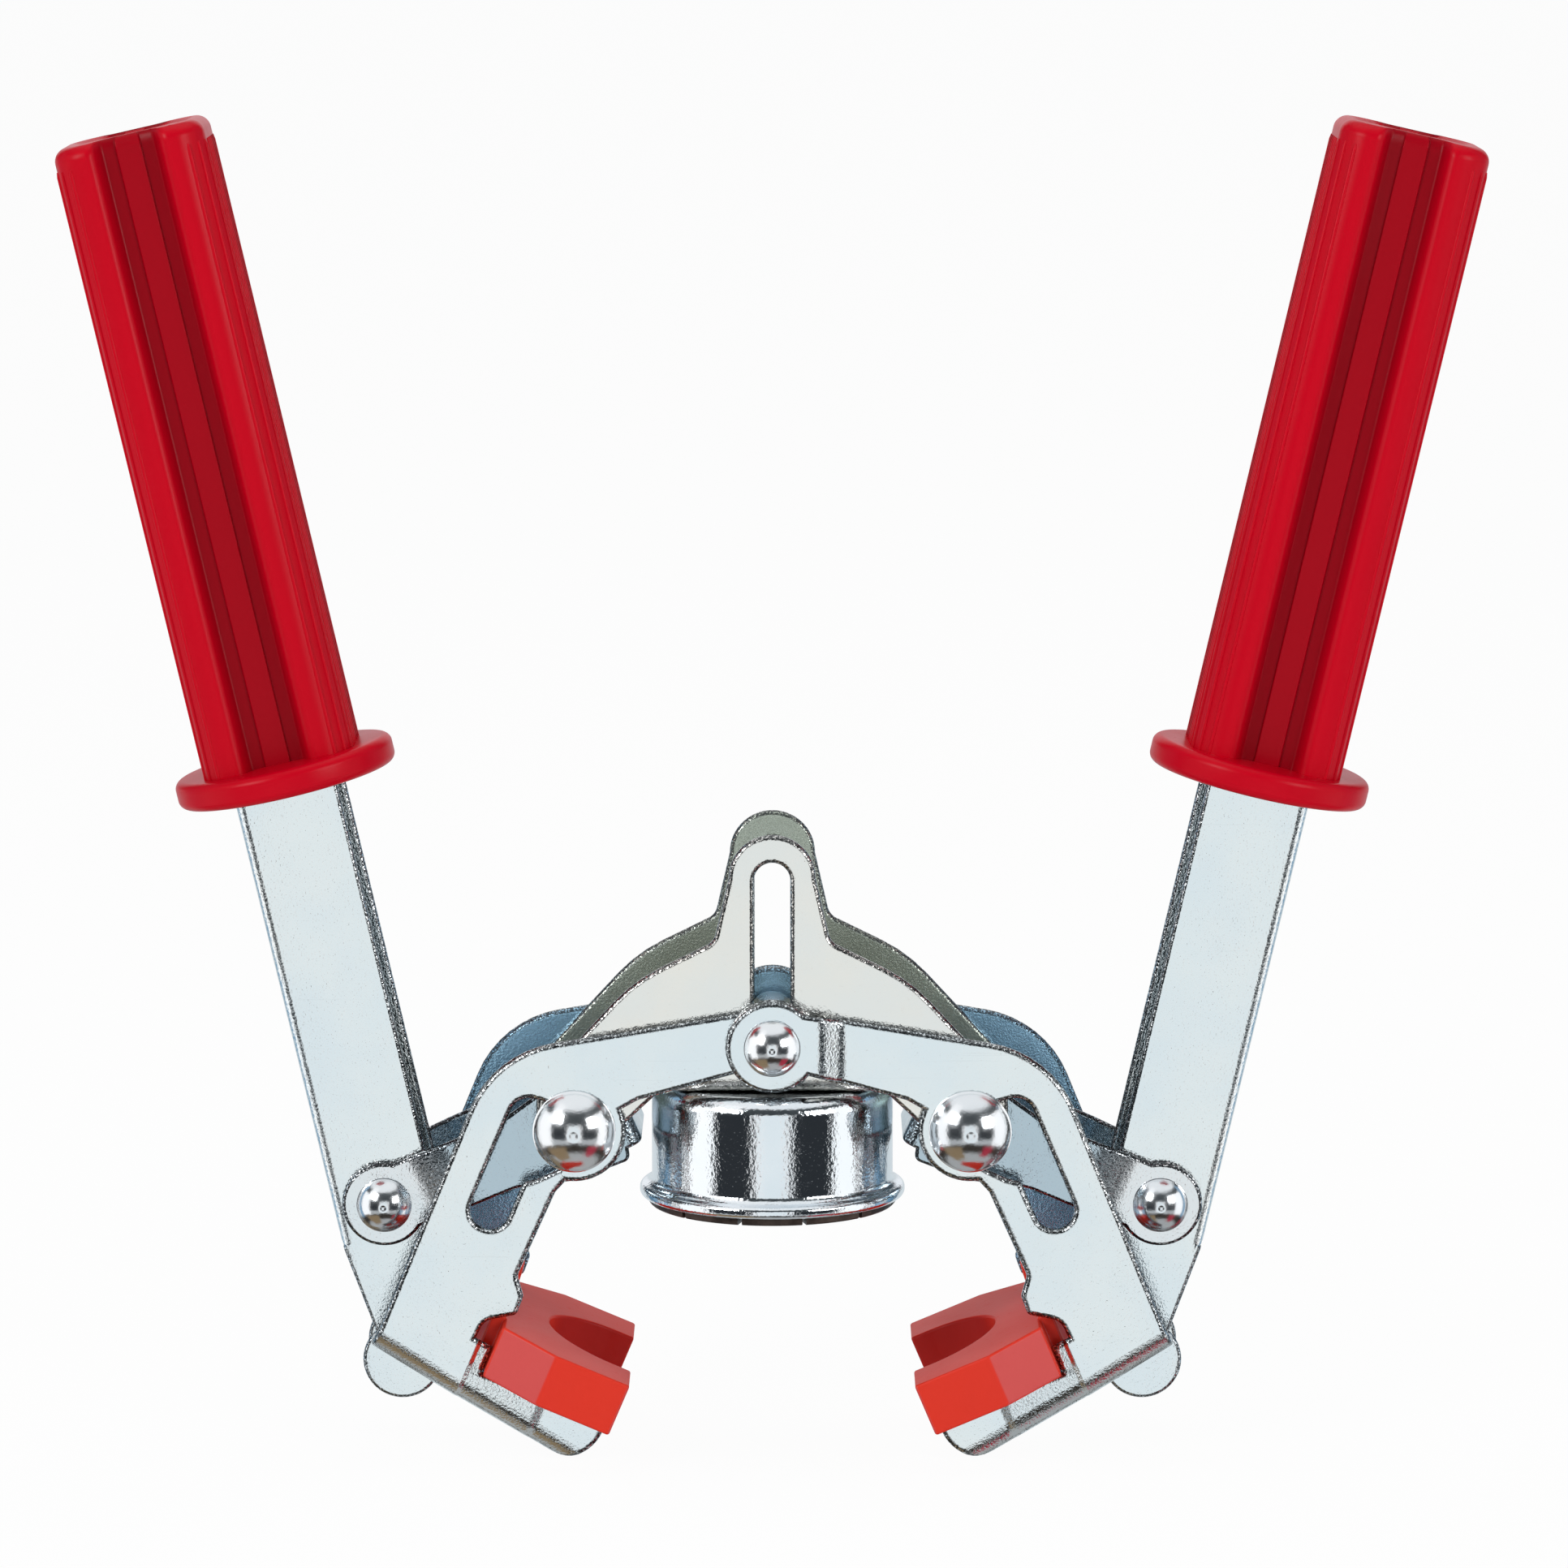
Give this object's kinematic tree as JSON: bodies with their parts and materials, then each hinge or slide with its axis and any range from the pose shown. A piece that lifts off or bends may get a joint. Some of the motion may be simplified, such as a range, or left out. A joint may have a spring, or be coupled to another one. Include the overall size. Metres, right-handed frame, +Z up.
{
  "type": "bottle capper",
  "caption": "Hand bottle capper: side levers draw hinged jaws with plastic neck inserts under the neck and press a slotted crimping bell onto the crown.",
  "frame": {"origin": "centre of the lower end of the straight crimping bore, on the bottle's axis", "axes": "+Z up along the bottle's axis, X across the two levers, -Y the front face of the picture"},
  "size_m": [0.2684, 0.052, 0.2541],
  "materials": {
    "zinc_plate": "bright zinc plate, satin",
    "polished_plate": "polished nickel or chrome plate",
    "link_plate": "bright zinc plate",
    "spacer_steel": "turned steel",
    "dark_steel": "blackened hardened steel",
    "ferrite": "matte ferrite",
    "insert_plastic": "moulded orange-red plastic, satin",
    "grip_plastic": "moulded crimson plastic, gloss"
  },
  "bodies": {
    "head": {"bell_shell": "polished_plate", "crimp_collet": "dark_steel", "cap_magnet": "ferrite", "bell_rivet": "polished_plate", "guide_yoke": "zinc_plate", "left_head_rivet": "polished_plate", "right_head_rivet": "polished_plate", "left_head_spacer": "spacer_steel", "right_head_spacer": "spacer_steel"},
    "slider": {"centre_pin": "polished_plate", "pin_spacer": "spacer_steel"},
    "right_jaw": {"right_jaw": "zinc_plate", "right_insert": "insert_plastic"},
    "right_link": {"right_link": "link_plate", "right_link_rivet": "polished_plate"},
    "right_lever": {"right_lever": "zinc_plate", "right_grip": "grip_plastic"},
    "left_jaw": {"left_jaw": "zinc_plate", "left_insert": "insert_plastic"},
    "left_link": {"left_link": "link_plate", "left_link_rivet": "polished_plate"},
    "left_lever": {"left_lever": "zinc_plate", "left_grip": "grip_plastic"}
  },
  "joints": [
    {"name": "pin_slide", "type": "slide", "parent": "head", "child": "slider", "axis": [0, 0, 1], "range_m": [0, 0.024]},
    {"name": "right_link_swing", "type": "hinge", "parent": "head", "child": "right_link", "pos_m": [0.0373, 0, 0.01515], "axis": [0, 1, 0], "range_deg": [0, 18.14]},
    {"name": "right_lever_swing", "type": "hinge", "parent": "right_link", "child": "right_lever", "pos_m": [0.0736, 0, -0.00045], "axis": [0, 1, 0], "range_deg": [0, 30.41]},
    {"name": "right_jaw_close", "type": "hinge", "parent": "slider", "child": "right_jaw", "pos_m": [0, 0, 0.03145], "axis": [0, 1, 0], "range_deg": [0, 22]},
    {"name": "left_link_swing", "type": "hinge", "parent": "head", "child": "left_link", "pos_m": [-0.0373, 0, 0.01515], "axis": [0, -1, 0], "range_deg": [0, 18.14]},
    {"name": "left_lever_swing", "type": "hinge", "parent": "left_link", "child": "left_lever", "pos_m": [-0.0736, 0, -0.00045], "axis": [0, -1, 0], "range_deg": [0, 30.41]},
    {"name": "left_jaw_close", "type": "hinge", "parent": "slider", "child": "left_jaw", "pos_m": [0, 0, 0.03145], "axis": [0, -1, 0], "range_deg": [0, 22]}
  ],
  "couplings": [
    {"joint": "pin_slide", "follows": "right_link_swing", "m_per_rad": 0.075818},
    {"joint": "right_lever_swing", "follows": "right_link_swing", "ratio": 1.6767},
    {"joint": "right_jaw_close", "follows": "right_link_swing", "ratio": 1.213},
    {"joint": "left_link_swing", "follows": "right_link_swing", "ratio": 1},
    {"joint": "left_lever_swing", "follows": "right_link_swing", "ratio": 1.6767},
    {"joint": "left_jaw_close", "follows": "right_link_swing", "ratio": 1.213}
  ]
}
